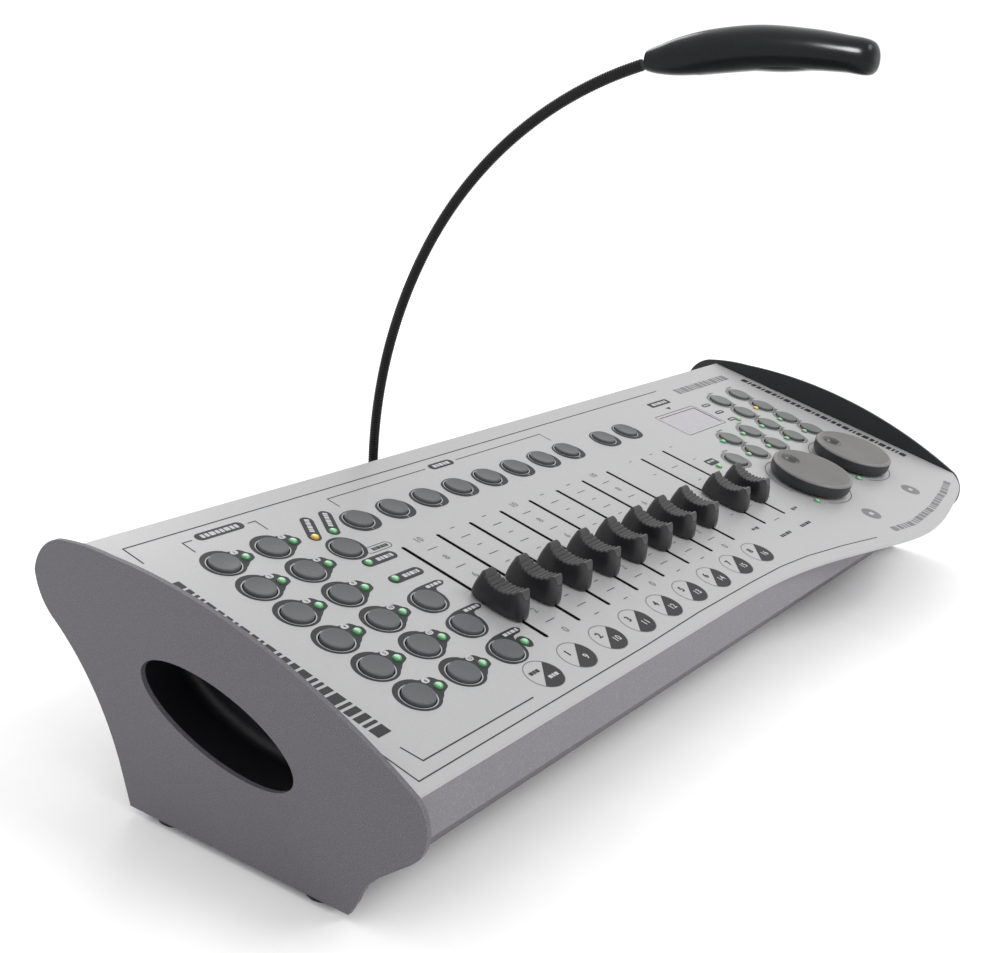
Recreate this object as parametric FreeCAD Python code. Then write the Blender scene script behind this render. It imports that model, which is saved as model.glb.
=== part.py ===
import FreeCAD, Part
import math
import os

V = FreeCAD.Vector

# A lighting control desk: a sloping faceplate between two steel side plates, with push keys,
# slide faders, two jog wheels, a small display and a gooseneck lamp plugged into the rear wall.
# Lengths are millimetres. Two frames are used. The desk frame has +X to the right, +Y to the
# rear and +Z up, and starts at the left side plate's inner face. The panel frame lies on the
# faceplate: x to the right, v rearwards along the slope and h up out of the faceplate.

# ---- overall sizes ----
PANEL_W = 516.8            # between the side plates
PANEL_DEPTH = 169.3        # along the slope
PANEL_TILT = 14.26         # degrees
FRONT_EDGE_Z = 55.0        # height of the faceplate's front edge
FOOT_H = 3.0

# ---- sheet metal ----
PANEL_T = 1.6
TRAY_T = 1.2
CHEEK_T = 2.0
FRONT_WALL_H = 18.0
WALL_SETBACK = 0.4         # front wall behind the faceplate's edge
BULGE_OUT = 23.9           # how far the faceplate's lip reaches forward at the jog wheels
BULGE_START_X = 225.0

# ---- keys ----
CAP_R = 6.3
CAP_H = 1.4                # above the faceplate
CAP_CLEAR = 0.5
CAP_ROUND = 0.6
CAP_DISH = 0.25
KEY_TRAVEL = 0.8
KEY_FLANGE_R = 7.1
KEY_FLANGE_T = 1.2
PLUNGER_R = 1.7
PLUNGER_FIT = 0.08
FIXTURE_X = (41.3, 67.2)
FIXTURE_V = 133.0
FIXTURE_PITCH = 19.65
FIXTURE_ROWS = 6
FUNCTION_X = 94.3
FUNCTION_ROWS = (0.74, 3.0, 4.0, 5.0)    # in row pitches down from the first fixture row
SCENE_X = 117.8
SCENE_PITCH = 23.15
SCENE_V = 133.0
SCENE_KEYS = 8
PAGE_X = 316.2
EDIT_X = 477.3
EDIT_PITCH_X = 25.7
EDIT_V = 131.3
EDIT_PITCH_V = 17.1
EDIT_ROWS = ((0, 1), (0, 1), (0, 1, 2, 3), (0, 1, 2, 3, 4))   # columns counted from the right

# ---- indicator lamps ----
LED_R = 1.9
LED_H = 1.3
LED_CLEAR = 0.1
FIXTURE_LED_DX = 11.1
EDIT_LED_DX = -9.3
EDIT_LED_DV = 0.2
EDIT_KEYS_WITH_LED = (2, 4, 5, 6, 7, 8, 9, 10, 11)
JOG_LED_DX = -20.9
JOG_LED_DV = -15.0
STATUS_LEDS = ((89.0, 131.1), (99.8, 131.0), (94.1, 106.0), (94.5, 92.0))
LABEL_LEDS = ((354.6, 80.7), (435.7, 110.5))

# ---- faders ----
FADER_X = 117.3
FADER_PITCH = 23.2
FADER_COUNT = 8
SPEED_FADER_X = (314.8, 338.0)
SLOT_FRONT_V = 31.7
SLOT_LENGTH = 76.0
SLOT_W = 1.8
LEVER_L = 5.0              # along the slot
LEVER_W = 1.2
LEVER_END_GAP = 0.5
FADER_REST = 0.309         # rest position as a share of the travel, from the front
KNOB_L = 26.6
KNOB_W = 11.4
KNOB_H = 12.5
KNOB_GAP = 0.9             # above the faceplate
KNOB_DISH = 3.7
KNOB_RIBS = 7
KNOB_RIB_PITCH = 2.0
FADER_BODY_W = 9.0
FADER_BODY_H = 6.5
FADER_BODY_END = 6.0       # housing beyond each end of the slot

# ---- jog wheels ----
JOG_CENTRES = ((394.6, 43.9), (455.2, 44.4))
JOG_R = 22.6
JOG_TOP = 8.7
JOG_GAP = 1.0
JOG_SHAFT_R = 3.0
JOG_SHAFT_FIT = 0.06
JOG_BUSH_R = 4.6
DIMPLE_R = 5.2
DIMPLE_OFFSET = 13.4
ENCODER_W = 12.0

# ---- display ----
DISPLAY_X = 400.0
DISPLAY_V = 123.9
DISPLAY_W = 41.4
DISPLAY_D = 20.0
DISPLAY_BEZEL = 4.0

# ---- circuit board ----
BOARD_TOP_H = -14.0
BOARD_T = 1.6
BOARD_EDGE = 9.0
BOARD_FRONT_V = 22.0
BOARD_REAR_GAP = 28.8      # from the board to the faceplate's rear edge
STANDOFF_R = 2.5
STANDOFF_INSET = 3.5
STANDOFF_XS = (52.0, 128.9, 221.7, 350.0, 490.0)
SWITCH_W = 6.0
SWITCH_H = 4.5

# ---- side plates ----
CHEEK_CROWN = 10.0         # rise of the top edge's arc
GRIP_L = 77.0
GRIP_W = 28.0
GRIP_V = 84.5
GRIP_H = -25.8
GRIP_DEPTH = 19.0
CUP_T = 2.0
CUP_ROUND = 4.0
CUP_FLANGE = 5.0
CHEEK_FLANGE_W = 14.0

# ---- feet and screws ----
FOOT_R = 8.0
FOOT_Y = (43.0, 117.0)
FOOT_INSET = 7.6
SCREW_R = 1.5
SCREW_HEAD_R = 2.8
SCREW_HEAD_T = 1.4
BASE_SCREW_Y = (60.0, 100.0)

# ---- rear wall ----
REAR_WALL_SETBACK = 1.1    # rear wall ahead of the faceplate's rear edge
REAR_WALL_H = 37.0
SOCKET_BELOW = 20.0        # socket axes below the faceplate's rear edge
SWITCH_X = 56.0
INLET_X = 92.0
LAMP_X = 198.3
MIDI_X = 292.0
AUDIO_X = 352.0
XLR_X = 424.0
AUDIO_R = 4.15
AUDIO_L = 9.0
LAMP_JACK_R = 4.8
LAMP_JACK_L = 10.0
LAMP_JACK_FIT = 0.06
ROCKER_W = 9.0
ROCKER_L = 17.0
ROCKER_TILT = 10.0
ROCKER_PIN_R = 1.0
ROCKER_PIN_FIT = 0.08

# ---- lamp ----
NECK_R = 2.45
NECK_BEHIND = 27.0         # neck's axis behind the rear wall
NECK_START = 9.0           # start of the first bend above the lamp socket
NECK_LOW_R = 215.0
NECK_LOW_TURN = 30.0
NECK_HIGH_R = 185.0
NECK_HIGH_TURN = 73.0
NECK_GAP = 0.3
KNUCKLE_PIN_R = 1.5
PLUG_SLEEVE_R = 7.2
PLUG_ELBOW_R = 6.2
HEAD_L = 97.0
HEAD_HALF_W = 11.0
LENS_L = 56.0
LENS_W = 10.0
LENS_T = 1.6

NODES = {}
FADER_XS = [FADER_X + i * FADER_PITCH for i in range(FADER_COUNT)] + list(SPEED_FADER_X)
LEVER_TRAVEL = SLOT_LENGTH - LEVER_L - 2 * LEVER_END_GAP
KNOB_REST_V = SLOT_FRONT_V + LEVER_END_GAP + LEVER_L / 2 + FADER_REST * LEVER_TRAVEL
PANEL_FRAME = FreeCAD.Placement(V(0, 0, FRONT_EDGE_Z), FreeCAD.Rotation(V(1, 0, 0), PANEL_TILT))
PANEL_REAR = PANEL_FRAME.multVec(V(0, PANEL_DEPTH, 0))
REAR_WALL_Y = PANEL_REAR.y - REAR_WALL_SETBACK
SOCKET_Z = PANEL_REAR.z - SOCKET_BELOW
NECK_Y = REAR_WALL_Y + NECK_BEHIND
NECK_START_Z = SOCKET_Z + NECK_START


# ---------------------------------------------------------------- helpers
def box(x0, x1, y0, y1, z0, z1):
    return Part.makeBox(x1 - x0, y1 - y0, z1 - z0, V(x0, y0, z0))


def disc(x, y, z, r, h):
    return Part.makeCylinder(r, h, V(x, y, z))


def rod_y(x, y, z, r, length):
    return Part.makeCylinder(r, length, V(x, y, z), V(0, 1, 0))


def moved(shape, dx, dy, dz):
    copy = shape.copy()
    copy.translate(V(dx, dy, dz))
    return copy


def cut_all(shape, tools):
    return shape.cut(tools) if tools else shape


def group(solids):
    return Part.makeCompound(list(solids))


def on_panel(shape):
    """Takes a shape from the panel frame to the desk frame."""
    copy = shape.copy()
    copy.Placement = PANEL_FRAME.multiply(copy.Placement)
    return copy


def arc(a, b, c):
    return Part.Arc(V(*a), V(*b), V(*c)).toShape()


def line(a, b):
    return Part.LineSegment(V(*a), V(*b)).toShape()


def add(name, shape):
    NODES[name] = shape


# ---------------------------------------------------------------- key positions
def fixture_keys():
    return [(x, FIXTURE_V - row * FIXTURE_PITCH) for x in FIXTURE_X for row in range(FIXTURE_ROWS)]


def function_keys():
    return [(FUNCTION_X, FIXTURE_V - row * FIXTURE_PITCH) for row in FUNCTION_ROWS]


def scene_keys():
    return [(SCENE_X + i * SCENE_PITCH, SCENE_V) for i in range(SCENE_KEYS)]


def page_keys():
    return [(PAGE_X, SCENE_V), (PAGE_X + SCENE_PITCH, SCENE_V)]


def edit_keys():
    keys = []
    for row, columns in enumerate(EDIT_ROWS):
        keys += [(EDIT_X - c * EDIT_PITCH_X, EDIT_V - row * EDIT_PITCH_V) for c in columns]
    return keys


def all_keys():
    return fixture_keys() + function_keys() + scene_keys() + page_keys() + edit_keys()


def led_points():
    points = [(x + FIXTURE_LED_DX, v) for x, v in fixture_keys() + function_keys()[3:]]
    points += [(x + EDIT_LED_DX, v + EDIT_LED_DV)
               for i, (x, v) in enumerate(edit_keys()) if i in EDIT_KEYS_WITH_LED]
    points += [(x + JOG_LED_DX, v + JOG_LED_DV) for x, v in JOG_CENTRES]
    return points + list(STATUS_LEDS) + list(LABEL_LEDS)


# ---------------------------------------------------------------- faceplate
def faceplate_outline():
    right = PANEL_W
    out = BULGE_OUT
    span = right - BULGE_START_X
    lip = Part.BSplineCurve()
    shares = ((0.0, 0.0), (0.257, 0.20), (0.463, 0.68), (0.641, 1.0), (0.84, 0.73), (1.0, 0.0))
    lip.interpolate(Points=[V(BULGE_START_X + a * span, -b * out, 0) for a, b in shares],
                    InitialTangent=V(1, 0, 0), FinalTangent=V(0.75, 0.66, 0))
    edges = [line((0, 0, 0), (BULGE_START_X, 0, 0)),
             lip.toShape(),
             line((right, 0, 0), (right, PANEL_DEPTH, 0)),
             line((right, PANEL_DEPTH, 0), (0, PANEL_DEPTH, 0)),
             line((0, PANEL_DEPTH, 0), (0, 0, 0))]
    return Part.Face(Part.Wire(edges))


def slot_cut(x, width, low, high):
    r = width / 2
    v0 = SLOT_FRONT_V + r
    v1 = SLOT_FRONT_V + SLOT_LENGTH - r
    body = box(x - r, x + r, v0, v1, low, high)
    return body.fuse([disc(x, v0, low, r, high - low), disc(x, v1, low, r, high - low)])


def make_faceplate():
    plate = faceplate_outline().extrude(V(0, 0, PANEL_T))
    plate.translate(V(0, 0, -PANEL_T))
    low = -PANEL_T - 1
    high = 1.0
    cuts = [disc(x, v, low, CAP_R + CAP_CLEAR, high - low) for x, v in all_keys()]
    cuts += [disc(x, v, low, LED_R + LED_CLEAR, high - low) for x, v in led_points()]
    cuts += [slot_cut(x, SLOT_W, low, high) for x in FADER_XS]
    cuts += [disc(x, v, low, JOG_BUSH_R + 0.1, high - low) for x, v in JOG_CENTRES]
    cuts.append(box(DISPLAY_X - DISPLAY_W / 2, DISPLAY_X + DISPLAY_W / 2,
                    DISPLAY_V - DISPLAY_D / 2, DISPLAY_V + DISPLAY_D / 2, low, high))
    add("faceplate", on_panel(cut_all(plate, cuts)))


# ---------------------------------------------------------------- side plates
def from_front(dy, dz):
    return (0, dy, FRONT_EDGE_Z + dz)


def from_rear(dy, dz):
    return (0, PANEL_REAR.y + dy, PANEL_REAR.z + dz)


def cheek_outline():
    nose_top = from_front(-0.7, 0)
    nose_low = from_front(0.3, -23.2)
    shin = from_front(14.0, -33.7)
    ankle = (0, 21.6, FOOT_H + 7.0)
    toe = (0, 25.6, FOOT_H)
    heel = (0, PANEL_REAR.y - 31.0, FOOT_H)
    waist = (0, PANEL_REAR.y - 26.5, FOOT_H + 13.0)
    hip = from_rear(9.8, -31.0)
    tail = from_rear(20.6, -13.5)
    crown = from_rear(6.9, 1.5)
    back = from_rear(-22.2, 2.2)
    chord = V(*back) - V(*nose_top)
    up = V(0, -chord.z, chord.y).normalize()
    top = (V(*nose_top) + V(*back)) * 0.5 + up * CHEEK_CROWN
    edges = [arc(nose_top, from_front(-5.6, -11.2), nose_low),
             line(nose_low, shin),
             arc(shin, from_front(18.6, -38.6), ankle),
             line(ankle, toe),
             line(toe, heel),
             line(heel, waist),
             arc(waist, from_rear(-12.1, -53.1), hip),
             arc(hip, from_rear(17.5, -22.8), tail),
             arc(tail, from_rear(16.5, -4.7), crown),
             arc(crown, from_rear(-7.1, 2.7), back),
             arc(back, tuple(top), nose_top)]
    return Part.Face(Part.Wire(edges))


def grip_column(grow, x0, x1):
    """An oval column along X on the grip's centre, grown by a margin."""
    centre = PANEL_FRAME.multVec(V(0, GRIP_V, GRIP_H))
    along = PANEL_FRAME.Rotation.multVec(V(0, 1, 0))
    across = PANEL_FRAME.Rotation.multVec(V(0, 0, 1))
    middle = V(x0, centre.y, centre.z)
    oval = Part.Ellipse(middle + along * (GRIP_L / 2 + grow), middle + across * (GRIP_W / 2 + grow), middle)
    return Part.Face(Part.Wire([oval.toShape()])).extrude(V(x1 - x0, 0, 0))


def make_cheeks():
    plate = cheek_outline().extrude(V(-CHEEK_T, 0, 0))
    plate = plate.cut(grip_column(0, -CHEEK_T - 1, 1))
    flange = box(0, CHEEK_FLANGE_W, FOOT_Y[0] - 12, FOOT_Y[1] + 12, FOOT_H, FOOT_H + CHEEK_T)
    holes = [disc(CHEEK_FLANGE_W / 2, y, FOOT_H - 1, SCREW_R, CHEEK_T + 2) for y in BASE_SCREW_Y]
    left = plate.fuse(flange.cut(holes)).removeSplitter()
    add("left_cheek", left)
    add("right_cheek", left.mirror(V(PANEL_W / 2, 0, 0), V(1, 0, 0)))


def make_grip_cups():
    shell = grip_column(CUP_T, 0, GRIP_DEPTH + CUP_T)
    rim = grip_column(CUP_FLANGE, 0, CUP_T)
    pocket = grip_column(0, -1, GRIP_DEPTH)
    floor_edges = [e for e in pocket.Edges if e.BoundBox.XMin > GRIP_DEPTH - 1]
    back_edges = [e for e in shell.Edges if e.BoundBox.XMin > GRIP_DEPTH]
    pocket = pocket.makeFillet(CUP_ROUND, floor_edges)
    shell = shell.makeFillet(CUP_ROUND + CUP_T, back_edges)
    cup = shell.fuse(rim).cut(pocket).removeSplitter()
    add("grip_cups", group([cup, cup.mirror(V(PANEL_W / 2, 0, 0), V(1, 0, 0))]))


# ---------------------------------------------------------------- chassis tray
def tray_path():
    """The tray's outer side, from the top of the front wall to the top of the rear wall."""
    top = FRONT_EDGE_Z - PANEL_T / math.cos(math.radians(PANEL_TILT))
    slope = math.tan(math.radians(PANEL_TILT))
    base = FOOT_H + CHEEK_T
    rear_low = PANEL_REAR.z - REAR_WALL_H
    return [(WALL_SETBACK, top + WALL_SETBACK * slope),
            (WALL_SETBACK, FRONT_EDGE_Z - FRONT_WALL_H),
            (23.0, FOOT_H + 14.0),
            (30.0, base),
            (PANEL_REAR.y - 35.0, base),
            (PANEL_REAR.y - 22.0, FOOT_H + 31.0),
            (REAR_WALL_Y, rear_low),
            (REAR_WALL_Y, top + REAR_WALL_Y * slope)]


def inset_path(path, depth):
    """The same path moved inwards by the sheet's thickness."""
    inner = []
    for i, point in enumerate(path):
        before = path[max(i - 1, 0)]
        after = path[min(i + 1, len(path) - 1)]
        normals = []
        for a, b in ((before, point), (point, after)):
            length = math.hypot(b[0] - a[0], b[1] - a[1])
            if length > 0:
                normals.append((-(b[1] - a[1]) / length, (b[0] - a[0]) / length))
        nx = sum(n[0] for n in normals) / len(normals)
        ny = sum(n[1] for n in normals) / len(normals)
        scale = depth / (nx * nx + ny * ny)
        inner.append((point[0] + nx * scale, point[1] + ny * scale))
    return inner


def make_tray():
    outer = tray_path()
    inner = inset_path(outer, TRAY_T)
    slope = math.tan(math.radians(PANEL_TILT))
    inner[0] = (inner[0][0], outer[0][1] + TRAY_T * slope)
    inner[-1] = (inner[-1][0], outer[-1][1] - TRAY_T * slope)
    corners = [V(0, y, z) for y, z in outer + inner[::-1]]
    sheet = Part.Face(Part.makePolygon(corners + corners[:1])).extrude(V(PANEL_W, 0, 0))
    through = 3 * TRAY_T
    y0 = REAR_WALL_Y - 2 * TRAY_T
    cuts = [rod_y(XLR_X, y0, SOCKET_Z, 12.0, through),
            rod_y(MIDI_X, y0, SOCKET_Z, 8.0, through),
            rod_y(AUDIO_X, y0, SOCKET_Z, 4.0, through),
            rod_y(LAMP_X, y0, SOCKET_Z, LAMP_JACK_R + 0.2, through),
            rod_y(INLET_X, y0, SOCKET_Z, 5.5, through),
            box(SWITCH_X - ROCKER_L / 2 - 1.5, SWITCH_X + ROCKER_L / 2 + 1.5, y0, y0 + through,
                SOCKET_Z - ROCKER_W / 2 - 1.5, SOCKET_Z + ROCKER_W / 2 + 1.5)]
    for x in (CHEEK_FLANGE_W / 2, PANEL_W - CHEEK_FLANGE_W / 2):
        cuts += [disc(x, y, FOOT_H, SCREW_R, 2 * CHEEK_T + TRAY_T) for y in BASE_SCREW_Y]
    for x, spread in ((XLR_X, 9.5), (MIDI_X, 11.2)):
        cuts += [rod_y(x + side * spread, y0, SOCKET_Z + side * xlr_rise(x), SCREW_R, through) for side in (-1, 1)]
    add("chassis_tray", sheet.cut(cuts))


def xlr_rise(x):
    return 12.0 if x == XLR_X else 0.0


# ---------------------------------------------------------------- board and what sits on it
def make_board():
    board = box(BOARD_EDGE, PANEL_W - BOARD_EDGE, BOARD_FRONT_V, PANEL_DEPTH - BOARD_REAR_GAP,
                BOARD_TOP_H - BOARD_T, BOARD_TOP_H)
    grip_room = GRIP_DEPTH + CUP_T + 3
    notch = box(0, grip_room, GRIP_V - GRIP_L / 2 - 9, GRIP_V + GRIP_L / 2 + 9, BOARD_TOP_H - 5, BOARD_TOP_H + 5)
    cuts = [notch, notch.mirror(V(PANEL_W / 2, 0, 0), V(1, 0, 0))]
    add("control_board", on_panel(board.cut(cuts)))


def make_switches():
    top = BOARD_TOP_H + SWITCH_H
    body = box(-SWITCH_W / 2, SWITCH_W / 2, -SWITCH_W / 2, SWITCH_W / 2, BOARD_TOP_H, top)
    body = body.cut(disc(0, 0, BOARD_TOP_H + 1, PLUNGER_R + PLUNGER_FIT, SWITCH_H))
    add("tactile_switches", on_panel(group(moved(body, x, v, 0) for x, v in all_keys())))


def make_leds():
    stem = disc(0, 0, BOARD_TOP_H, LED_R, LED_H - LED_R - BOARD_TOP_H)
    led = stem.fuse(Part.makeSphere(LED_R, V(0, 0, LED_H - LED_R))).removeSplitter()
    add("indicator_leds", on_panel(group(moved(led, x, v, 0) for x, v in led_points())))


def make_display():
    w = DISPLAY_W / 2
    d = DISPLAY_D / 2
    rim = DISPLAY_BEZEL
    body = box(-w - rim, w + rim, -d - rim, d + rim, BOARD_TOP_H, -PANEL_T)
    glass = box(-w + 0.1, w - 0.1, -d + 0.1, d - 0.1, -PANEL_T, -0.3)
    add("display_module", on_panel(group(moved(s, DISPLAY_X, DISPLAY_V, 0) for s in (body, glass))))


# ---------------------------------------------------------------- keys
def key_solid():
    low = BOARD_TOP_H + 1 + KEY_TRAVEL + 0.4
    flange_top = -PANEL_T - 0.3
    cap = disc(0, 0, flange_top, CAP_R, CAP_H - flange_top)
    rim = [e for e in cap.Edges if abs(e.BoundBox.ZMin - CAP_H) < 0.01 and e.BoundBox.ZLength < 0.01]
    cap = cap.makeFillet(CAP_ROUND, rim)
    dish_r = 60.0
    dish = Part.makeSphere(dish_r, V(0, 0, CAP_H + dish_r - CAP_DISH))
    cap = cap.cut(dish)
    flange = disc(0, 0, flange_top - KEY_FLANGE_T, KEY_FLANGE_R, KEY_FLANGE_T)
    plunger = disc(0, 0, low, PLUNGER_R, flange_top - low)
    return cap.fuse([flange, plunger]).removeSplitter()


def make_keys():
    key = key_solid()

    def place(points):
        return on_panel(group(moved(key, x, v, 0) for x, v in points))

    families = (("fixture_key", fixture_keys()), ("function_key", function_keys()),
                ("scene_key", scene_keys()), ("page_key", page_keys()))
    for family, points in families:
        for number, point in enumerate(points, 1):
            add(f"{family}_{number}", place([point]))
    add("edit_keys", place(edit_keys()))


# ---------------------------------------------------------------- faders
def make_fader_bodies():
    half = FADER_BODY_W / 2
    v0 = SLOT_FRONT_V - FADER_BODY_END
    v1 = SLOT_FRONT_V + SLOT_LENGTH + FADER_BODY_END
    top = BOARD_TOP_H + FADER_BODY_H
    body = box(-half, half, v0, v1, BOARD_TOP_H, top)
    body = body.cut(slot_cut(0, SLOT_W, BOARD_TOP_H + 1, top + 1))
    add("slide_potentiometers", on_panel(group(moved(body, x, 0, 0) for x in FADER_XS)))


def oval(length, width, h):
    return Part.Wire([Part.Ellipse(V(0, length / 2, h), V(width / 2, 0, h), V(0, 0, h)).toShape()])


def knob_cap():
    """An oval cap with a dished, ribbed top, centred on its own origin, bottom at h = 0."""
    l = KNOB_L / 2
    h = KNOB_H
    peak = l - 3.7
    waist = (l - 1.0, h / 2)
    body = Part.makeLoft([oval(KNOB_L, KNOB_W, 0), oval(KNOB_L - 2.0, KNOB_W - 1.8, h + 1)], True, True)
    side = Part.Wire([line((0, -l, 0), (0, l, 0)),
                      arc((0, l, 0), (0, waist[0], waist[1]), (0, peak, h)),
                      arc((0, peak, h), (0, 0, h - KNOB_DISH), (0, -peak, h)),
                      arc((0, -peak, h), (0, -waist[0], waist[1]), (0, -l, 0))])
    profile = Part.Face(side).extrude(V(KNOB_W, 0, 0))
    profile.translate(V(-KNOB_W / 2, 0, 0))
    body = body.common(profile)
    dish_r = (peak ** 2 + KNOB_DISH ** 2) / (2 * KNOB_DISH)
    grooves = []
    for i in range(KNOB_RIBS):
        v = (i - (KNOB_RIBS - 1) / 2) * KNOB_RIB_PITCH
        floor = h - KNOB_DISH + dish_r - math.sqrt(dish_r ** 2 - v ** 2) - 0.6
        grooves.append(box(-KNOB_W, KNOB_W, v - 0.45, v + 0.45, floor, h + 1))
    return body.cut(grooves)


def make_fader_knobs():
    cap = moved(knob_cap(), 0, KNOB_REST_V, KNOB_GAP)
    lever_top = KNOB_GAP + 5.0
    lever = box(-LEVER_W / 2, LEVER_W / 2, KNOB_REST_V - LEVER_L / 2, KNOB_REST_V + LEVER_L / 2,
                BOARD_TOP_H + 1.5, lever_top)
    cap = cap.cut(lever)
    for number, x in enumerate(FADER_XS, 1):
        add(f"fader_knob_{number}", on_panel(group([moved(cap, x, 0, 0), moved(lever, x, 0, 0)])))


# ---------------------------------------------------------------- jog wheels
def make_encoders():
    body = box(-ENCODER_W / 2, ENCODER_W / 2, -ENCODER_W / 2, ENCODER_W / 2, BOARD_TOP_H, -PANEL_T - 3)
    bush = disc(0, 0, -PANEL_T - 3, JOG_BUSH_R, PANEL_T + 3 + JOG_GAP - 0.4)
    bore = disc(0, 0, BOARD_TOP_H + 2, JOG_SHAFT_R + JOG_SHAFT_FIT, 20)
    unit = body.fuse(bush).cut(bore).removeSplitter()
    add("jog_encoders", on_panel(group(moved(unit, x, v, 0) for x, v in JOG_CENTRES)))


def make_jog_wheels():
    for side, (x, v), lean in zip(("left", "right"), JOG_CENTRES, (14.0, 28.0)):
        wheel = disc(0, 0, JOG_GAP, JOG_R, JOG_TOP - JOG_GAP)
        wheel = wheel.makeFillet(0.8, [e for e in wheel.Edges if e.BoundBox.ZLength < 0.01])
        angle = math.radians(90 + lean)
        cx = DIMPLE_OFFSET * math.cos(angle)
        cv = DIMPLE_OFFSET * math.sin(angle)
        wheel = wheel.cut(Part.makeSphere(DIMPLE_R * 1.15, V(cx, cv, JOG_TOP + DIMPLE_R * 0.55)))
        shaft = disc(0, 0, BOARD_TOP_H + 2.5, JOG_SHAFT_R, JOG_GAP - BOARD_TOP_H)
        wheel = wheel.fuse(shaft).removeSplitter()
        add(f"jog_wheel_{side}", on_panel(moved(wheel, x, v, 0)))


# ---------------------------------------------------------------- rear wall
def make_signal_sockets():
    y = REAR_WALL_Y
    z = SOCKET_Z
    flange = box(XLR_X - 13, XLR_X + 13, y, y + 1.5, z - 15.5, z + 15.5)
    xlr = flange.fuse([rod_y(XLR_X, y - 18, z, 11.8, 18), rod_y(XLR_X, y + 1.5, z, 11.6, 1.0)])
    well = rod_y(XLR_X, y - 14, z, 9.6, 18).cut(rod_y(XLR_X, y - 14, z, 7.6, 15))
    pins = [rod_y(XLR_X + 4.4 * math.cos(a), y - 12, z + 4.4 * math.sin(a), 1.2, 16)
            for a in (math.radians(d) for d in (0, 180, 270))]
    screws = [rod_y(XLR_X + s * 9.5, y - 1, z + s * 12.0, SCREW_R, 4) for s in (-1, 1)]
    xlr = xlr.cut([well] + pins + screws).removeSplitter()
    plate = box(MIDI_X - 14, MIDI_X + 14, y, y + 1.2, z - 9.5, z + 9.5)
    midi = plate.fuse([rod_y(MIDI_X, y - 12, z, 7.8, 12), rod_y(MIDI_X, y + 1.2, z, 7.8, 1.2)])
    well = rod_y(MIDI_X, y - 9, z, 6.9, 14).cut(rod_y(MIDI_X, y - 9, z, 5.6, 10))
    pins = [rod_y(MIDI_X + 3.9 * math.cos(a), y - 8, z + 3.9 * math.sin(a), 0.8, 12)
            for a in (math.radians(d) for d in (0, 45, 90, 135, 180))]
    screws = [rod_y(MIDI_X + s * 11.2, y - 1, z, SCREW_R, 4) for s in (-1, 1)]
    midi = midi.cut([well] + pins + screws).removeSplitter()
    nut = rod_y(AUDIO_X, y, z, 6.5, 1.8)
    audio = nut.fuse([rod_y(AUDIO_X, y - 8, z, 3.9, 8), rod_y(AUDIO_X, y + 1.8, z, AUDIO_R, AUDIO_L)])
    audio = audio.cut(rod_y(AUDIO_X, y - 2, z, 1.65, AUDIO_L + 6)).removeSplitter()
    jack = rod_y(LAMP_X, y - 10, z, LAMP_JACK_R, 10 + LAMP_JACK_L)
    jack = jack.fuse(rod_y(LAMP_X, y, z, 7.5, 1.5))
    jack = jack.cut(rod_y(LAMP_X, y + 1, z, 2.6, LAMP_JACK_L)).removeSplitter()
    add("signal_sockets", group([xlr, midi, audio, jack]))


def make_power_fittings():
    y = REAR_WALL_Y
    z = SOCKET_Z
    inlet = rod_y(INLET_X, y - 12, z, 5.4, 12).fuse(rod_y(INLET_X, y, z, 7.0, 1.6))
    inlet = inlet.cut(rod_y(INLET_X, y - 9, z, 3.2, 12))
    inlet = inlet.fuse(rod_y(INLET_X, y - 10, z, 1.05, 9)).removeSplitter()
    half_l = ROCKER_L / 2
    half_w = ROCKER_W / 2
    frame = box(SWITCH_X - half_l - 3, SWITCH_X + half_l + 3, y, y + 1.8, z - half_w - 3, z + half_w + 3)
    frame = frame.fuse(box(SWITCH_X - half_l - 1.4, SWITCH_X + half_l + 1.4, y - 14, y,
                           z - half_w - 1.4, z + half_w + 1.4))
    frame = frame.cut(box(SWITCH_X - half_l - 0.3, SWITCH_X + half_l + 0.3, y - 9, y + 3,
                          z - half_w - 0.3, z + half_w + 0.3))
    pin = Part.makeCylinder(ROCKER_PIN_R + ROCKER_PIN_FIT, ROCKER_W + 2.4, V(SWITCH_X, y - 2, z - half_w - 1.2))
    add("power_fittings", group([inlet, frame.cut(pin).removeSplitter()]))


def make_rocker():
    y = REAR_WALL_Y
    z = SOCKET_Z
    l = ROCKER_L / 2 - 0.4
    corners = [V(-l, 0, 0), V(-l, 3.4, 0), V(0, 2.0, 0), V(l, 3.4, 0), V(l, 0, 0), V(0, -2.5, 0)]
    body = Part.Face(Part.makePolygon(corners + corners[:1])).extrude(V(0, 0, ROCKER_W))
    body.translate(V(0, 0, -ROCKER_W / 2))
    pin = Part.makeCylinder(ROCKER_PIN_R, ROCKER_W + 1.8, V(0, 0, -ROCKER_W / 2 - 0.9))
    rocker = body.fuse(pin).removeSplitter()
    rocker.rotate(V(0, 0, 0), V(0, 0, 1), ROCKER_TILT)
    add("power_rocker", moved(rocker, SWITCH_X, y - 2, z))


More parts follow.
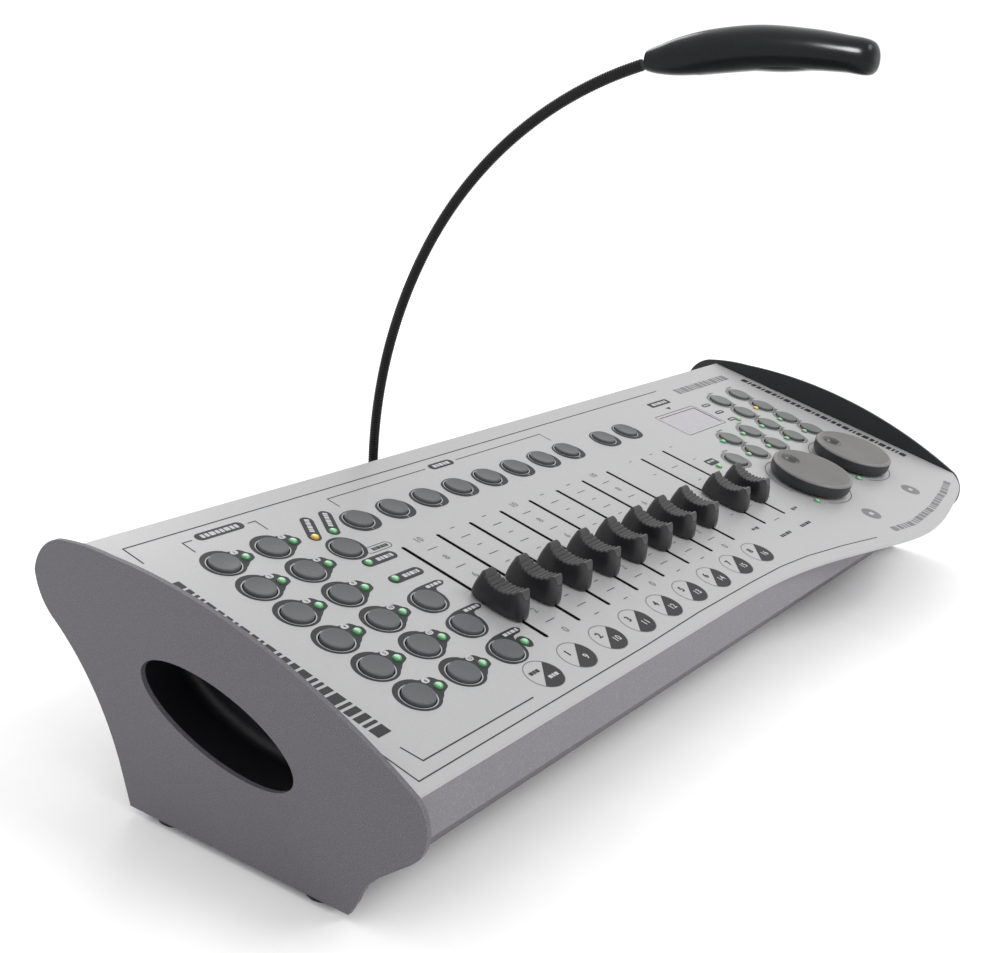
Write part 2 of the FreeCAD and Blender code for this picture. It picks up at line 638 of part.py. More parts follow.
# ---------------------------------------------------------------- feet and screws
def make_feet_and_screws():
    feet = []
    screws = []
    for x, flange_x in ((FOOT_INSET, CHEEK_FLANGE_W / 2), (PANEL_W - FOOT_INSET, PANEL_W - CHEEK_FLANGE_W / 2)):
        for y in FOOT_Y:
            foot = disc(x, y, 0, FOOT_R, FOOT_H)
            low_rim = [e for e in foot.Edges if e.BoundBox.ZMax < 0.01]
            feet.append(foot.makeFillet(0.8, low_rim))
        for y in BASE_SCREW_Y:
            head = disc(flange_x, y, FOOT_H - SCREW_HEAD_T, SCREW_HEAD_R, SCREW_HEAD_T)
            shank = disc(flange_x, y, FOOT_H, SCREW_R, CHEEK_T + TRAY_T + 2)
            screws.append(head.fuse(shank).removeSplitter())
    for x, spread, rise, plate in ((XLR_X, 9.5, 12.0, 1.5), (MIDI_X, 11.2, 0.0, 1.2)):
        for side in (-1, 1):
            z = SOCKET_Z + side * rise
            head = rod_y(x + side * spread, REAR_WALL_Y + plate, z, SCREW_HEAD_R - 0.4, SCREW_HEAD_T)
            shank = rod_y(x + side * spread, REAR_WALL_Y - 5, z, SCREW_R, 5 + plate)
            screws.append(head.fuse(shank).removeSplitter())
    for x in STANDOFF_XS:
        for v in (BOARD_FRONT_V + STANDOFF_INSET, PANEL_DEPTH - BOARD_REAR_GAP - STANDOFF_INSET + 1):
            screws.append(on_panel(disc(x, v, BOARD_TOP_H, STANDOFF_R, -PANEL_T - BOARD_TOP_H)))
    add("rubber_feet", group(feet))
    add("screws_and_standoffs", group(screws))


# ---------------------------------------------------------------- lamp
def neck_point(turn, radius, start_turn, y, z):
    """Where an arc of the neck ends, when it starts at y, z already leaning by start_turn."""
    a = math.radians(start_turn)
    b = math.radians(turn)
    return (LAMP_X, y - radius * (math.cos(a) - math.cos(b)), z + radius * (math.sin(b) - math.sin(a)))


def neck_tube(start_turn, end_turn, radius, y, z, skip):
    """Round tube along an arc, left out for a length skip at its far end."""
    last = end_turn - math.degrees(skip / radius)
    start = (LAMP_X, y, z)
    middle = neck_point((start_turn + last) / 2, radius, start_turn, y, z)
    end = neck_point(last, radius, start_turn, y, z)
    lean = math.radians(start_turn)
    ring = Part.Circle(V(*start), V(0, -math.sin(lean), math.cos(lean)), NECK_R)
    return Part.Wire([arc(start, middle, end)]).makePipeShell([Part.Wire([ring.toShape()])], True, False)


def make_lamp_plug():
    y = REAR_WALL_Y
    z = SOCKET_Z
    elbow_y = NECK_Y
    sleeve = rod_y(LAMP_X, y + 1.9, z, PLUG_SLEEVE_R, 12.5)
    barrel = rod_y(LAMP_X, y + 1.9, z, PLUG_ELBOW_R, elbow_y - y - 1.9)
    corner = Part.makeSphere(PLUG_ELBOW_R, V(LAMP_X, elbow_y, z))
    collar_top = NECK_START_Z - NECK_R - NECK_GAP
    collar = disc(LAMP_X, elbow_y, z, PLUG_ELBOW_R, collar_top - z)
    socket = rod_y(LAMP_X, y, z, LAMP_JACK_R + LAMP_JACK_FIT, LAMP_JACK_L + 1.0)
    plug = sleeve.fuse([barrel, corner, collar]).cut(socket).removeSplitter()
    add("lamp_plug", plug)


def knuckle(point):
    """A ball on a bend's pivot, with a cross pin along the bend's axis."""
    x, y, z = point
    pin_l = 2 * NECK_R + 1.0
    pin = Part.makeCylinder(KNUCKLE_PIN_R, pin_l, V(x - pin_l / 2, y, z), V(1, 0, 0))
    return [Part.makeSphere(NECK_R, V(x, y, z)), pin]


def make_neck():
    low = (LAMP_X, NECK_Y, NECK_START_Z)
    high = neck_point(NECK_LOW_TURN, NECK_LOW_R, 0.0, NECK_Y, NECK_START_Z)
    lower = neck_tube(0.0, NECK_LOW_TURN, NECK_LOW_R, NECK_Y, NECK_START_Z, NECK_R + NECK_GAP)
    add("gooseneck_lower", lower.fuse(knuckle(low)).removeSplitter())
    upper = neck_tube(NECK_LOW_TURN, NECK_HIGH_TURN, NECK_HIGH_R, high[1], high[2], 0.0)
    add("gooseneck_upper", upper.fuse(knuckle(high)).removeSplitter())


def neck_end():
    high = neck_point(NECK_LOW_TURN, NECK_LOW_R, 0.0, NECK_Y, NECK_START_Z)
    return neck_point(NECK_HIGH_TURN, NECK_HIGH_R, NECK_LOW_TURN, high[1], high[2])


def head_solid(shrink):
    """The lamp head: oval sections along its length, tapering to the neck and rounded at the tip."""
    x, y, z = neck_end()
    sections = ((0.00, 1.6, 3.4, 0.36), (0.07, 2.2, 5.4, 0.50), (0.17, 3.8, 7.4, 0.66), (0.31, 5.9, 8.5, 0.84),
                (0.52, 7.9, 8.5, 0.99), (0.74, 7.8, 7.5, 1.0), (0.88, 6.8, 6.7, 0.87), (0.96, 5.8, 6.4, 0.70),
                (1.00, 5.2, 5.0, 0.48))
    wires = []
    for share, rise, half_h, width in sections:
        centre = V(x, y - share * HEAD_L, z + rise)
        wide = HEAD_HALF_W * width - shrink
        tall = half_h - shrink
        tip_x = centre + V(max(wide, tall), 0, 0)
        tip_z = centre + V(0, 0, min(wide, tall))
        if wide < tall:
            tip_x = centre + V(0, 0, tall)
            tip_z = centre + V(wide, 0, 0)
        wires.append(Part.Wire([Part.Ellipse(tip_x, tip_z, centre).toShape()]))
    return Part.makeLoft(wires, True, False)


def make_lamp_head():
    x, y, z = neck_end()
    head = head_solid(0.0)
    end = y - 0.55 * HEAD_L
    window = box(x - LENS_W / 2, x + LENS_W / 2, end - LENS_L / 2, end + LENS_L / 2, z - 10, z + 12)
    skin = head.cut(moved(head, 0, 0, LENS_T))
    lens = skin.common(window)
    lens = max(lens.Solids, key=lambda s: -s.CenterOfMass.z)
    add("lamp_lens", lens)
    add("lamp_shell", head.cut([lens, NODES["gooseneck_upper"]]))


# ---------------------------------------------------------------- build
def move_to_origin():
    """Puts the origin at the centre of the whole desk's footprint, on the plane under its feet."""
    whole = group(NODES.values()).optimalBoundingBox()
    shift = V(-(whole.XMin + whole.XMax) / 2, -(whole.YMin + whole.YMax) / 2, -whole.ZMin)
    for name, shape in NODES.items():
        copy = shape.copy()
        copy.translate(shift)
        NODES[name] = copy
    return shift


def build():
    make_faceplate()
    make_tray()
    make_cheeks()
    make_grip_cups()
    make_board()
    make_switches()
    make_leds()
    make_display()
    make_fader_bodies()
    make_encoders()
    make_signal_sockets()
    make_power_fittings()
    make_feet_and_screws()
    make_keys()
    make_fader_knobs()
    make_jog_wheels()
    make_rocker()
    make_lamp_plug()
    make_neck()
    make_lamp_head()
    return move_to_origin()


SHIFT = build()
os.makedirs("parts", exist_ok=True)
for name, shape in NODES.items():
    shape.exportStep(f"parts/{name}.step")
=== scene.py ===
import math

import bpy
from mathutils import Matrix, Vector
from mathutils.geometry import tessellate_polygon


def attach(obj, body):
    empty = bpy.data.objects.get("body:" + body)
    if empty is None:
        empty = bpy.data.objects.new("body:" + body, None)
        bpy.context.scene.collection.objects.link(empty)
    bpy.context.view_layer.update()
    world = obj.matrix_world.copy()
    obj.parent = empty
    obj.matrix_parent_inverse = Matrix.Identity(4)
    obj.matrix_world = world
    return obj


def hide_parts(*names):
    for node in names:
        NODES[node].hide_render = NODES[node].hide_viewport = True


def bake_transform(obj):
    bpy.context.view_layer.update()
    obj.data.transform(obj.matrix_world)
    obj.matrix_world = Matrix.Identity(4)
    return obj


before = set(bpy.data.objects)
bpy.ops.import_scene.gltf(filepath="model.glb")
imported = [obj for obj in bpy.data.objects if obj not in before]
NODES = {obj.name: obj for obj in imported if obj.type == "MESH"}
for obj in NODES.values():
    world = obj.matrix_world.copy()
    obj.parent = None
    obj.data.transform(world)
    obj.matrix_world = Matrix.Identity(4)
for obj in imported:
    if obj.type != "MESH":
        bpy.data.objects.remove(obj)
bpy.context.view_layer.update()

# ---- places ----
# Lengths are millimetres in the desk frame (x from the left side plate, y rearwards, z up) or in
# the panel frame (x, v up the slope, h out of the faceplate). Both turn into metres on the way out.
MM = 0.001
DESK_X = -258.4
DESK_Y = -77.118
EDGE_Z = 55.0
SLOPE = math.radians(14.26)


def desk(x, y, z):
    return Vector((x + DESK_X, y + DESK_Y, z)) * MM


def panel(x, v, h=0.0):
    y = v * math.cos(SLOPE) - h * math.sin(SLOPE)
    return desk(x, y, EDGE_Z + v * math.sin(SLOPE) + h * math.cos(SLOPE))


# ---- layout in the panel frame ----
ROW = 19.65
FIXTURES = [(x, 133.0 - row * ROW) for x in (41.3, 67.2) for row in range(6)]
FUNCTIONS = [(94.3, 133.0 - row * ROW) for row in (0.74, 3.0, 4.0, 5.0)]
SCENES = [(117.8 + i * 23.15, 133.0) for i in range(8)]
PAGES = [(316.2, 133.0), (339.35, 133.0)]
EDITS = [(477.3 - c * 25.7, 131.3 - row * 17.1)
         for row, count in enumerate((2, 2, 4, 5)) for c in range(count)]
EDITS_WITH_LED = (2, 4, 5, 6, 7, 8, 9, 10, 11)
JOGS = [(394.6, 43.9, math.radians(104)), (455.2, 44.4, math.radians(118))]
STATUS_LEDS = [(89.0, 131.1), (99.8, 131.0), (94.1, 106.0), (94.5, 92.0)]
LABEL_LEDS = [(354.6, 80.7), (435.7, 110.5)]
LED_R = 1.9
EDIT_LED_DX, EDIT_LED_DV = -9.3, 0.2
FIXTURE_LED_DX = 11.1
JOG_LED_DX, JOG_LED_DV = -20.9, -15.0
SLOTS = [117.3 + i * 23.2 for i in range(8)]
SPEED_SLOTS = [314.8, 338.0]
SLOT_MID_V, SLOT_L, SLOT_W = 69.7, 76.0, 1.8
LAMP_X = 198.3


# ---------------------------------------------------------------- materials
def node(tree, kind, **values):
    made = tree.nodes.new(kind)
    for key, value in values.items():
        setattr(made, key, value)
    return made


def noise(tree, place, scale, detail=3.0, rough=0.55, stretch=None):
    made = node(tree, "ShaderNodeTexNoise")
    made.inputs["Scale"].default_value = scale
    made.inputs["Detail"].default_value = detail
    made.inputs["Roughness"].default_value = rough
    if stretch:
        mapping = node(tree, "ShaderNodeMapping")
        mapping.inputs["Scale"].default_value = stretch
        tree.links.new(place, mapping.inputs["Vector"])
        place = mapping.outputs["Vector"]
    tree.links.new(place, made.inputs["Vector"])
    return made.outputs["Fac"]


def ramp(tree, value, stops):
    made = node(tree, "ShaderNodeValToRGB")
    tree.links.new(value, made.inputs["Fac"])
    elements = made.color_ramp.elements
    while len(elements) < len(stops):
        elements.new(0.5)
    for element, (place, colour) in zip(elements, stops):
        element.position = place
        element.color = (*colour, 1)
    return made.outputs["Color"]


def spread(tree, value, low, high):
    made = node(tree, "ShaderNodeMapRange")
    made.inputs["From Min"].default_value = 0.3
    made.inputs["From Max"].default_value = 0.7
    made.inputs["To Min"].default_value = low
    made.inputs["To Max"].default_value = high
    tree.links.new(value, made.inputs["Value"])
    return made.outputs["Result"]


def multiply(tree, a, b, share=1.0):
    made = node(tree, "ShaderNodeMix", data_type="RGBA", blend_type="MULTIPLY")
    made.inputs["Factor"].default_value = share
    tree.links.new(a, made.inputs[6])
    tree.links.new(b, made.inputs[7])
    return made.outputs[2]


def surface(name, colour, vary=0.08, grain=1500, broad=14, rough=0.45, rough_vary=0.06, metal=0.0,
            bump=0.15, bump_scale=2200, bump_depth=0.00004, coat=0.0, coat_rough=0.15,
            specular=0.5, stretch=None, flecks=None):
    """Paint, plastic or metal: fine grain, broad clouding, uneven gloss and a fine texture."""
    made = bpy.data.materials.new(name)
    made.use_nodes = True
    tree = made.node_tree
    shader = tree.nodes["Principled BSDF"]
    place = node(tree, "ShaderNodeTexCoord").outputs["Object"]
    fine = noise(tree, place, grain, stretch=stretch)
    wide = noise(tree, place, broad, detail=2.0)
    dark = tuple(c * (1 - vary) for c in colour)
    light = tuple(min(1.0, c * (1 + vary)) for c in colour)
    tone = ramp(tree, fine, ((0.35, dark), (0.65, light)))
    cloud = ramp(tree, wide, ((0.3, (1 - vary * 0.7,) * 3), (0.7, (1, 1, 1))))
    tone = multiply(tree, tone, cloud)
    if flecks:
        scale, low, high, fleck = flecks
        dots = noise(tree, place, scale, detail=1.0)
        tone = multiply(tree, tone, ramp(tree, dots, ((low, (1, 1, 1)), (high, fleck))))
    tree.links.new(tone, shader.inputs["Base Color"])
    tree.links.new(spread(tree, wide, rough - rough_vary, rough + rough_vary),
                   shader.inputs["Roughness"])
    relief = node(tree, "ShaderNodeBump")
    relief.inputs["Strength"].default_value = bump
    relief.inputs["Distance"].default_value = bump_depth
    tree.links.new(noise(tree, place, bump_scale, detail=2.0), relief.inputs["Height"])
    tree.links.new(relief.outputs["Normal"], shader.inputs["Normal"])
    shader.inputs["Metallic"].default_value = metal
    shader.inputs["Specular IOR Level"].default_value = specular
    shader.inputs["Coat Weight"].default_value = coat
    shader.inputs["Coat Roughness"].default_value = coat_rough
    return made


PANEL = surface("panel_paint", (0.39, 0.39, 0.396), vary=0.05, grain=2600, broad=5, rough=0.40,
                rough_vary=0.05, metal=0.2, bump=0.25, bump_scale=2600)
POWDER = surface("powder_coat", (0.098, 0.094, 0.104), vary=0.2, grain=2400, broad=9, rough=0.5,
                 rough_vary=0.06, bump=0.5, bump_scale=1700, bump_depth=0.00012,
                 flecks=(2600, 0.58, 0.68, (1.7, 1.7, 1.7)), specular=0.4)
TRAY = surface("tray_powder_coat", (0.16, 0.153, 0.166), vary=0.14, grain=2400, broad=7, rough=0.5,
               rough_vary=0.06, bump=0.45, bump_scale=1700, bump_depth=0.0001, specular=0.4,
               flecks=(2600, 0.58, 0.68, (1.4, 1.4, 1.4)))
CUP = surface("cup_plastic", (0.006, 0.006, 0.008), vary=0.3, grain=1600, broad=30, rough=0.42,
              bump=0.3, bump_scale=2600, specular=0.3)
KEY = surface("key_plastic", (0.078, 0.083, 0.088), vary=0.1, grain=2200, broad=60, rough=0.4,
              bump=0.25, bump_scale=3600, bump_depth=0.00003, specular=0.35)
PALE_KEY = surface("pale_key_plastic", (0.125, 0.13, 0.126), vary=0.08, grain=2200, broad=60,
                   rough=0.4, bump=0.25, bump_scale=3600, bump_depth=0.00003, specular=0.35)
KNOB = surface("knob_plastic", (0.013, 0.013, 0.0148), vary=0.3, grain=1800, broad=80, rough=0.31,
               rough_vary=0.06, bump=0.35, bump_scale=3000, bump_depth=0.00004, specular=0.5)
JOG_TOP = surface("jog_top", (0.112, 0.11, 0.106), vary=0.07, grain=2400, broad=40, rough=0.42,
                  bump=0.25, bump_scale=3000, bump_depth=0.00004, specular=0.3)
# Lighter than the top: a painted highlight on the wheel's rounded bevel.
JOG_BEVEL_HIGHLIGHT = surface("jog_bevel_painted_highlight", (0.15, 0.146, 0.144), vary=0.06, grain=2400, broad=40, rough=0.36,
                  bump=0.15, bump_scale=3000, bump_depth=0.00003, specular=0.4)
JOG_SIDE = surface("jog_side", (0.026, 0.027, 0.030), vary=0.2, grain=2400, broad=40, rough=0.45,
                   bump=0.3, bump_scale=3000, bump_depth=0.00003, specular=0.3)
# Darker than the top: painted shade in the finger dimple, with a glossier finish.
JOG_DIMPLE_SHADE = surface("jog_dimple_painted_shade", (0.045, 0.045, 0.047), vary=0.15, grain=2400, broad=40,
                     rough=0.3, bump=0.2, bump_scale=3000, bump_depth=0.00003, specular=0.5)
INK = surface("ink_black", (0.026, 0.026, 0.028), vary=0.3, grain=3000, broad=25, rough=0.55,
              bump=0.1, bump_scale=4000, bump_depth=0.00002, specular=0.3)
INK_WHITE = surface("ink_white", (0.42, 0.42, 0.43), vary=0.05, grain=3000, broad=25, rough=0.5,
                    bump=0.1, bump_scale=4000, bump_depth=0.00002)
INK_GREY = surface("ink_grey", (0.15, 0.15, 0.155), vary=0.1, grain=3000, broad=25, rough=0.5,
                   bump=0.1, bump_scale=4000, bump_depth=0.00002)
BOARD = surface("board_green", (0.004, 0.02, 0.01), vary=0.3, grain=900, broad=90, rough=0.4)
SWITCH = surface("switch_plastic", (0.006, 0.006, 0.006), vary=0.2, rough=0.55, specular=0.2)
GLASS = surface("display_glass", (0.35, 0.337, 0.365), vary=0.03, grain=300, broad=40, rough=0.2,
                rough_vary=0.03, bump=0.02, specular=0.3)
SOCKET_METAL = surface("socket_metal", (0.5, 0.5, 0.5), vary=0.08, grain=900, rough=0.28,
                       metal=1.0, bump=0.1, stretch=(1, 1, 6))
SOCKET_BLACK = surface("socket_plastic", (0.02, 0.02, 0.022), vary=0.25, rough=0.4)
RUBBER = surface("foot_rubber", (0.018, 0.018, 0.018), vary=0.3, grain=1200, rough=0.75,
                 bump=0.5, bump_scale=1500, bump_depth=0.0001, specular=0.3)
STEEL = surface("screw_steel", (0.42, 0.42, 0.43), vary=0.12, grain=1500, rough=0.3, metal=1.0)
PLUG = surface("plug_plastic", (0.01, 0.01, 0.011), vary=0.3, rough=0.36, bump=0.25, specular=0.35)
NECK = surface("neck_sleeve", (0.004, 0.004, 0.0045), vary=0.35, grain=2600, broad=60, rough=0.4,
               rough_vary=0.08, bump=0.3, bump_scale=5000, bump_depth=0.00003, specular=0.22)
HEAD = surface("lamp_gloss", (0.0022, 0.003, 0.0032), vary=0.3, grain=1400, broad=35, rough=0.24,
               rough_vary=0.03, bump=0.05, bump_scale=900, bump_depth=0.00003, specular=0.16)
LENS = surface("lamp_lens", (0.02, 0.02, 0.022), vary=0.1, rough=0.2, bump=0.2, bump_scale=700,
               specular=0.3)

# Painted shade: the faceplate is painted near black below this depth, but not within the margin
# behind its front edge.
PAINTED_SHADE_DEPTH = 0.00008
FRONT_MARGIN = 0.0105
# Across the right side plate, the painted shade of its inner face ends and the paint starts at
# these x.
INNER_SHADE_END_X, PAINT_X = 0.2590, 0.2594


def darken_holes(material):
    """Painted shade: the sheet's walls inside slots and holes get a near-black colour for the shade
    inside them.
    """
    tree = material.node_tree
    shader = tree.nodes["Principled BSDF"]
    place = node(tree, "ShaderNodeTexCoord").outputs["Object"]
    corner = panel(0, 0)
    shares = []
    for way, depth in ((Vector((0, -math.sin(SLOPE), math.cos(SLOPE))), PAINTED_SHADE_DEPTH),
                       (Vector((0, -math.cos(SLOPE), -math.sin(SLOPE))), FRONT_MARGIN)):
        along = node(tree, "ShaderNodeVectorMath", operation="DOT_PRODUCT")
        along.inputs[1].default_value = way
        tree.links.new(place, along.inputs[0])
        below = node(tree, "ShaderNodeMath", operation="LESS_THAN")
        below.inputs[1].default_value = corner.dot(way) - depth
        tree.links.new(along.outputs["Value"], below.inputs[0])
        shares.append(below.outputs["Value"])
    both = node(tree, "ShaderNodeMath", operation="MULTIPLY")
    tree.links.new(shares[0], both.inputs[0])
    tree.links.new(shares[1], both.inputs[1])
    mixed = node(tree, "ShaderNodeMix", data_type="RGBA")
    tree.links.new(both.outputs["Value"], mixed.inputs["Factor"])
    tree.links.new(shader.inputs["Base Color"].links[0].from_socket, mixed.inputs[6])
    shadow = ramp(tree, noise(tree, place, 1800), ((0.35, (0.008,) * 3), (0.65, (0.014,) * 3)))
    tree.links.new(shadow, mixed.inputs[7])
    tree.links.new(mixed.outputs[2], shader.inputs["Base Color"])


darken_holes(PANEL)


def two_sided(name, outside, inside):
    """Paint on the outside of the right plate, and painted shade: near black on the face towards
    the panel.
    """
    made = outside.copy()
    made.name = name
    tree = made.node_tree
    shader = tree.nodes["Principled BSDF"]
    place = node(tree, "ShaderNodeTexCoord").outputs["Object"]
    axes = node(tree, "ShaderNodeSeparateXYZ")
    tree.links.new(place, axes.inputs["Vector"])
    side = node(tree, "ShaderNodeMapRange")
    side.inputs["From Min"].default_value = INNER_SHADE_END_X
    side.inputs["From Max"].default_value = PAINT_X
    tree.links.new(axes.outputs["X"], side.inputs["Value"])
    grain = noise(tree, place, 2400)
    dark = ramp(tree, grain, ((0.35, tuple(c * 0.75 for c in inside)),
                              (0.65, tuple(c * 1.25 for c in inside))))
    mixed = node(tree, "ShaderNodeMix", data_type="RGBA")
    tree.links.new(side.outputs["Result"], mixed.inputs["Factor"])
    tree.links.new(dark, mixed.inputs[6])
    tree.links.new(shader.inputs["Base Color"].links[0].from_socket, mixed.inputs[7])
    tree.links.new(mixed.outputs[2], shader.inputs["Base Color"])
    return made


CHEEK_WITH_INNER_SHADE = two_sided("right_cheek_paint_and_painted_shade", POWDER, (0.012, 0.013, 0.014))
LOOKS = {
    "panel_silver": PANEL, "tray_grey": TRAY, "cheek_grey": POWDER, "cup_black": CUP,
    "board_green": BOARD, "switch_black": SWITCH, "display_grey": GLASS,
    "socket_metal": SOCKET_METAL, "socket_black": SOCKET_BLACK, "foot_rubber": RUBBER,
    "screw_steel": STEEL, "plug_black": PLUG, "neck_black": NECK, "lamp_gloss": HEAD,
    "lens_clear": LENS, "jog_grey": JOG_TOP, "knob_black": KNOB, "key_grey": KEY,
    "led_green": SWITCH,
}
for piece in NODES.values():
    for holder in piece.material_slots:
        holder.material = LOOKS[holder.material.name.split(".")[0]]
NODES["edit_keys"].material_slots[0].material = PALE_KEY
# the right side plate gets painted shade on its inner face
NODES["right_cheek"].material_slots[0].material = CHEEK_WITH_INNER_SHADE


# ---------------------------------------------------------------- mesh helpers
def build(name, vertices, faces, materials, body, smooth=None, marks=None, choice=None):
    mesh = bpy.data.meshes.new(name)
    mesh.from_pydata([tuple(v) for v in vertices], [], faces)
    for material in materials:
        mesh.materials.append(material)
    if choice:
        mesh.polygons.foreach_set("material_index", choice)
    if marks:
        layer = mesh.attributes.new("painted_highlight", "FLOAT", "POINT")
        layer.data.foreach_set("value", marks)
    made = bpy.data.objects.new(name, mesh)
    bpy.context.scene.collection.objects.link(made)
    if smooth is not None:
        mesh.polygons.foreach_set("use_smooth", [True] * len(mesh.polygons))
        mesh.set_sharp_from_angle(angle=math.radians(smooth))
    if body:
        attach(made, body)
    return made


def rings(loops, closed_start=False, closed_end=False, base=0):
    """Quads between equal rings of vertices, with an optional fan at either end."""
    count = len(loops[0])
    faces = []
    for i in range(len(loops) - 1):
        a, b = base + i * count, base + (i + 1) * count
        faces += [(a + j, a + (j + 1) % count, b + (j + 1) % count, b + j) for j in range(count)]
    if closed_start:
        faces.append(tuple(base + j for j in reversed(range(count))))
    if closed_end:
        last = base + (len(loops) - 1) * count
        faces.append(tuple(last + j for j in range(count)))
    return faces


# ---------------------------------------------------------------- printing
# heights of the print above the faceplate, and the gaps between bars in units of a bar
BASE_INK, WHITE_INK, TOP_INK = 0.06, 0.10, 0.14
DASH_GAP = 0.7
BAR_GAP = 0.8


def circle(x, v, r, steps=48):
    turns = [2 * math.pi * i / steps for i in range(steps)]
    return [(x + r * math.cos(t), v + r * math.sin(t)) for t in turns]


def smooth(points, steps=5):
    """A closed rounded outline through the points."""
    made = []
    count = len(points)
    for i in range(count):
        p0, p1, p2, p3 = (points[(i + k - 1) % count] for k in range(4))
        for step in range(steps):
            t = step / steps
            made.append(tuple(0.5 * (2 * b + (c - a) * t + (2 * a - 5 * b + 4 * c - d) * t * t
                                     + (3 * b - a - 3 * c + d) * t ** 3)
                              for a, b, c, d in zip(p0, p1, p2, p3)))
    return made


def shifted(points, x, v):
    return [(a + x, b + v) for a, b in points]


def pill(x, v, length, width, turn=0.0, end=None):
    """A bar with rounded ends, or with corners of radius end."""
    r = width / 2 if end is None else end
    made = []
    for i, (sx, sv) in enumerate(((1, 1), (-1, 1), (-1, -1), (1, -1))):
        for step in range(7):
            t = math.radians(90 * i + 15 * step)
            made.append((sx * (length / 2 - r) + r * math.cos(t),
                         sv * (width / 2 - r) + r * math.sin(t)))
    c, s = math.cos(math.radians(turn)), math.sin(math.radians(turn))
    return [(x + a * c - b * s, v + a * s + b * c) for a, b in made]


class Ink:
    """Flat print that lies on the faceplate at one height."""

    def __init__(self, height):
        self.height = height
        self.vertices = []
        self.faces = []

    def area(self, outline, *holes):
        loops = [[Vector((a, b, 0)) for a, b in loop] for loop in (outline, *holes)]
        flat = [p for loop in loops for p in loop]
        start = len(self.vertices)
        self.vertices += [panel(p.x, p.y, self.height) for p in flat]
        for a, b, c in tessellate_polygon(loops):
            up = (flat[b] - flat[a]).cross(flat[c] - flat[a]).z > 0
            self.faces.append([start + k for k in ((a, b, c) if up else (a, c, b))])

    def line(self, points, width, closed=False):
        count = len(points)
        sides = ([], [])
        for i, (x, v) in enumerate(points):
            before = points[(i - 1) % count] if closed or i else None
            after = points[(i + 1) % count] if closed or i < count - 1 else None
            ways = []
            if before:
                ways.append(Vector((x - before[0], v - before[1])).normalized())
            if after:
                ways.append(Vector((after[0] - x, after[1] - v)).normalized())
            way = sum(ways, Vector((0, 0))).normalized()
            across = Vector((-way.y, way.x))
            reach = width / 2 / max(0.4, way.dot(ways[0]))
            for side, sign in zip(sides, (1, -1)):
                side.append((x + across.x * reach * sign, v + across.y * reach * sign))
        if closed:
            self.area(sides[0], sides[1])
        else:
            self.area(sides[0] + sides[1][::-1])

    def number(self, value, x, v, size, turn=0.0):
        words = bpy.data.curves.new("number", "FONT")
        words.body = str(value)
        words.size = size
        words.align_x = "CENTER"
        words.align_y = "CENTER"
        words.offset = size * 0.018
        words.resolution_u = 3
        holder = bpy.data.objects.new("number", words)
        mesh = bpy.data.meshes.new_from_object(holder)
        c, s = math.cos(math.radians(turn)), math.sin(math.radians(turn))
        start = len(self.vertices)
        self.vertices += [panel(x + p.co.x * c - p.co.y * s, v + p.co.x * s + p.co.y * c,
                                self.height) for p in mesh.vertices]
        self.faces += [[start + k for k in face.vertices] for face in mesh.polygons]
        bpy.data.objects.remove(holder)
        bpy.data.curves.remove(words)
        bpy.data.meshes.remove(mesh)

    def dashes(self, x, v, length, height, turn=0.0, pattern=(3, 2, 4, 1, 3, 2, 3)):
        """A row of small bars where the real desk has a word."""
        total = sum(pattern) + DASH_GAP * (len(pattern) - 1)
        unit = length / total
        c, s = math.cos(math.radians(turn)), math.sin(math.radians(turn))
        place = -length / 2
        for share in pattern:
            middle = place + share * unit / 2
            self.area(pill(x + middle * c, v + middle * s, share * unit, height, turn,
                           0.1 * height))
            place += (share + DASH_GAP) * unit

    def make(self, name, material):
        return build(name, self.vertices, self.faces, [material], "desk")


black = Ink(BASE_INK)
grey = Ink(BASE_INK)
white = Ink(WHITE_INK)
fine = Ink(TOP_INK)
HOLE = 7.3
LED_HOLE = LED_R + 0.15

# wells round the keys
LOBE = [(8.4, -4.9), (10.4, -3.4), (13.9, -2.2), (14.9, -0.6), (15.2, 1.2), (13.9, 2.8),
        (12.4, 5.5)]
FIXTURE_WELL = [(0.3 + 9.1 * math.cos(math.radians(a)), 0.7 + 9.1 * math.sin(math.radians(a)))
                for a in range(38, 316, 12)] + LOBE
SCENE_WELL = [(-7, 5), (-3.6, 7), (0.3, 7.8), (4.5, 7.1), (7.4, 4.4), (9.2, 1.1), (9.3, -3),
              (7.5, -6.8), (4.7, -8.7), (0.8, -9.3), (-3.9, -8.7), (-6.8, -6.5), (-8.6, -3.4),
              (-9, 0.7)]
FUNCTION_WELL = [(-6.4, 5.9), (-3.3, 7.5), (2.2, 8.9), (6.9, 9.1), (12.1, 9.1), (15.7, 8.9),
                 (17.6, 7.2), (15.6, 5.4), (12.2, 5.2), (10.4, 4.6), (9.3, 2.8), (9.2, -0.6),
                 (7.4, -4.5), (4.2, -7.2), (0.1, -8.2), (-5, -7.2), (-8, -4), (-8.9, 0.5),
                 (-8.6, 3.4)]
for number, (x, v) in enumerate(FIXTURES, 1):
    black.area(smooth(shifted(FIXTURE_WELL, x, v), 2), circle(x, v, HOLE),
               circle(x + FIXTURE_LED_DX, v, LED_HOLE, 20))
    white.area(pill(x + 9.4, v + 4.7, 3.5, 2.7))
    fine.number(number, x + 9.4, v + 4.65, 2.2)
for number, (x, v) in enumerate(SCENES, 1):
    black.area(smooth(shifted(SCENE_WELL, x, v), 4), circle(x, v, HOLE))
    white.number(number, x + 0.2, v - 8.2, 1.7)
for x, v in PAGES:
    black.area(smooth(shifted(SCENE_WELL, x, v), 4), circle(x, v, HOLE))
